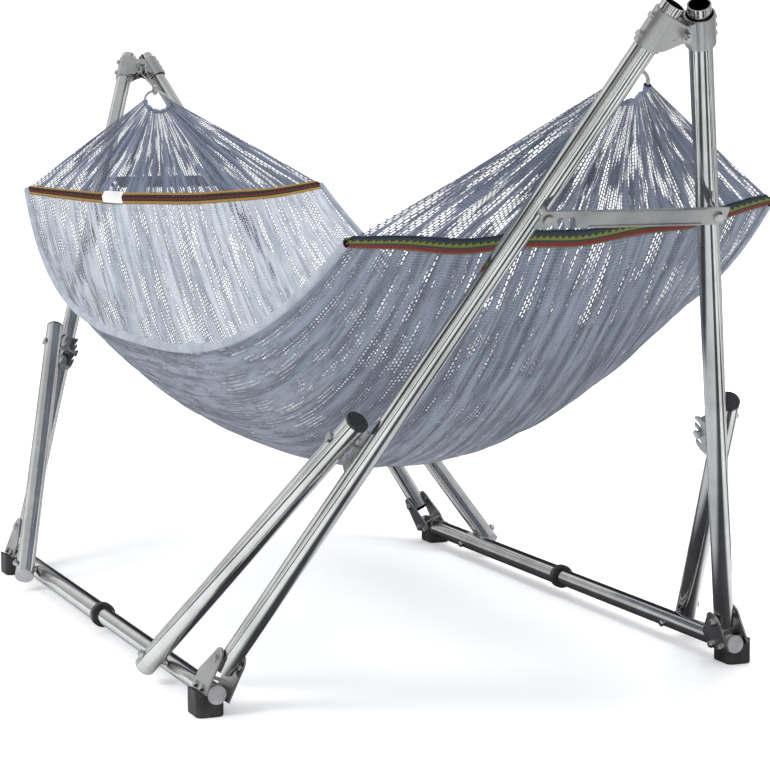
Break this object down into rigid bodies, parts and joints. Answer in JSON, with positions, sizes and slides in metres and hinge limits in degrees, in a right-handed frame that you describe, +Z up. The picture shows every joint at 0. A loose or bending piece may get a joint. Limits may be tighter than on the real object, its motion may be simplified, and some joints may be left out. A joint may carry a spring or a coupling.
{
  "type": "hammock on stand",
  "caption": "Net double hammock with fabric end bands hung by rings and hooks from a folding steel tube stand with telescoping floor rails",
  "frame": {"origin": "on the floor, at the middle of the stand", "axes": "+X along the length to the near end, +Y to the right rail, +Z up"},
  "size_m": [2.7522, 1.1, 1.1435],
  "materials": {
    "polished_tube": "polished stainless tube",
    "brushed_plate": "satin stainless sheet",
    "bolt_steel": "turned steel",
    "foot_rubber": "matt black rubber",
    "grey_plastic": "grey moulded plastic",
    "cap_plastic": "glossy dark plastic, grey at the bottom caps",
    "collar_plastic": "black moulded plastic",
    "hook_steel": "polished steel rod",
    "woven_band": "striped woven band",
    "net_fabric": "blue-grey knitted net"
  },
  "bodies": {
    "left_far": {"leg_far_left": "polished_tube", "bracket_far_left": "brushed_plate", "foot_far_left": "foot_rubber", "fasteners_far_left": "bolt_steel", "rack_far_left": "brushed_plate", "rail_plug_far_left": "grey_plastic", "rail_outer_left": "polished_tube", "rail_collar_left": "collar_plastic", "hub_collar_far_left": "brushed_plate", "hub_bolt_far": "bolt_steel", "hook_far": "hook_steel"},
    "left_near": {"leg_near_left": "polished_tube", "bracket_near_left": "brushed_plate", "foot_near_left": "foot_rubber", "fasteners_near_left": "bolt_steel", "rack_near_left": "brushed_plate", "rail_plug_near_left": "grey_plastic", "rail_inner_left": "polished_tube", "hub_collar_near_left": "brushed_plate", "hub_bolt_near": "bolt_steel", "hook_near": "hook_steel"},
    "right_far": {"leg_far_right": "polished_tube", "bracket_far_right": "brushed_plate", "foot_far_right": "foot_rubber", "fasteners_far_right": "bolt_steel", "rack_far_right": "brushed_plate", "rail_plug_far_right": "grey_plastic", "rail_outer_right": "polished_tube", "rail_collar_right": "collar_plastic"},
    "right_near": {"leg_near_right": "polished_tube", "bracket_near_right": "brushed_plate", "foot_near_right": "foot_rubber", "fasteners_near_right": "bolt_steel", "rack_near_right": "brushed_plate", "rail_plug_near_right": "grey_plastic", "rail_inner_right": "polished_tube"},
    "collar_far": {"hub_collar_far_right": "brushed_plate"},
    "collar_near": {"hub_collar_near_right": "brushed_plate"},
    "brace_far": {"brace_far": "brushed_plate"},
    "brace_near": {"brace_near": "brushed_plate"},
    "hammock": {"ring_far": "hook_steel", "fan_far": "net_fabric", "band_far": "woven_band", "hammock_bed": "net_fabric"},
    "hammock_near": {"ring_near": "hook_steel", "fan_near": "net_fabric", "band_near": "woven_band"},
    "strut_near_left": {"strut_near_left": "polished_tube", "strut_plugs_near_left": "cap_plastic", "strut_peg_near_left": "bolt_steel"},
    "strut_near_right": {"strut_near_right": "polished_tube", "strut_plugs_near_right": "cap_plastic", "strut_peg_near_right": "bolt_steel"},
    "strut_far_left": {"strut_far_left": "polished_tube", "strut_plugs_far_left": "cap_plastic", "strut_peg_far_left": "bolt_steel"},
    "strut_far_right": {"strut_far_right": "polished_tube", "strut_plugs_far_right": "cap_plastic", "strut_peg_far_right": "bolt_steel"}
  },
  "joints": [
    {"name": "rail_slide_left", "type": "slide", "parent": "left_far", "child": "left_near", "axis": [1, 0, 0], "range_m": [-0.15, 0]},
    {"name": "frame_fold", "type": "hinge", "parent": "left_far", "child": "right_far", "pos_m": [0, 0.03399, 1.1], "axis": [1, 0, 0], "range_deg": [-46.14, 0]},
    {"name": "rail_slide_right", "type": "slide", "parent": "right_far", "child": "right_near", "axis": [1, 0, 0], "range_m": [-0.15, 0]},
    {"name": "collar_turn_far", "type": "hinge", "parent": "left_far", "child": "collar_far", "pos_m": [-1.34, 0, 1.1], "axis": [0.8414, 0, 0.5404], "range_deg": [-39.53, 0]},
    {"name": "brace_lift_far", "type": "hinge", "parent": "right_far", "child": "brace_far", "pos_m": [-1.17795, 0.14145, 0.8477], "axis": [0.8414, 0, 0.5404], "range_deg": [-115.55, 0]},
    {"name": "collar_turn_near", "type": "hinge", "parent": "left_near", "child": "collar_near", "pos_m": [1.34, 0, 1.1], "axis": [0.8414, 0, -0.5404], "range_deg": [-39.53, 0]},
    {"name": "brace_lift_near", "type": "hinge", "parent": "right_near", "child": "brace_near", "pos_m": [1.17795, 0.14145, 0.8477], "axis": [0.8414, 0, -0.5404], "range_deg": [-115.55, 0]},
    {"name": "strut_swing_near_left", "type": "hinge", "parent": "left_near", "child": "strut_near_left", "pos_m": [0.455, -0.48655, 0.0374], "axis": [0, -0.92, 0.3918], "range_deg": [0, 10]},
    {"name": "strut_swing_near_right", "type": "hinge", "parent": "right_near", "child": "strut_near_right", "pos_m": [0.455, 0.48655, 0.0374], "axis": [0, -0.92, -0.3918], "range_deg": [0, 10]},
    {"name": "strut_swing_far_left", "type": "hinge", "parent": "left_far", "child": "strut_far_left", "pos_m": [-0.455, -0.48655, 0.0374], "axis": [0, 0.92, -0.3918], "range_deg": [0, 10]},
    {"name": "strut_swing_far_right", "type": "hinge", "parent": "right_far", "child": "strut_far_right", "pos_m": [-0.455, 0.48655, 0.0374], "axis": [0, 0.92, 0.3918], "range_deg": [0, 10]},
    {"name": "hammock_swing", "type": "hinge", "parent": "left_far", "child": "hammock", "pos_m": [0, 0, 1.045], "axis": [1, 0, 0], "range_deg": [-10, 10]},
    {"name": "hammock_slide", "type": "slide", "parent": "hammock", "child": "hammock_near", "axis": [1, 0, 0], "range_m": [-0.15, 0], "deforming": ["hammock_bed"]}
  ],
  "couplings": [
    {"joint": "rail_slide_right", "follows": "rail_slide_left", "ratio": 1},
    {"joint": "collar_turn_far", "follows": "frame_fold", "ratio": 0.85461},
    {"joint": "brace_lift_far", "follows": "frame_fold", "ratio": 2.5},
    {"joint": "collar_turn_near", "follows": "frame_fold", "ratio": 0.85461},
    {"joint": "brace_lift_near", "follows": "frame_fold", "ratio": 2.5},
    {"joint": "hammock_slide", "follows": "rail_slide_left", "ratio": 1}
  ]
}
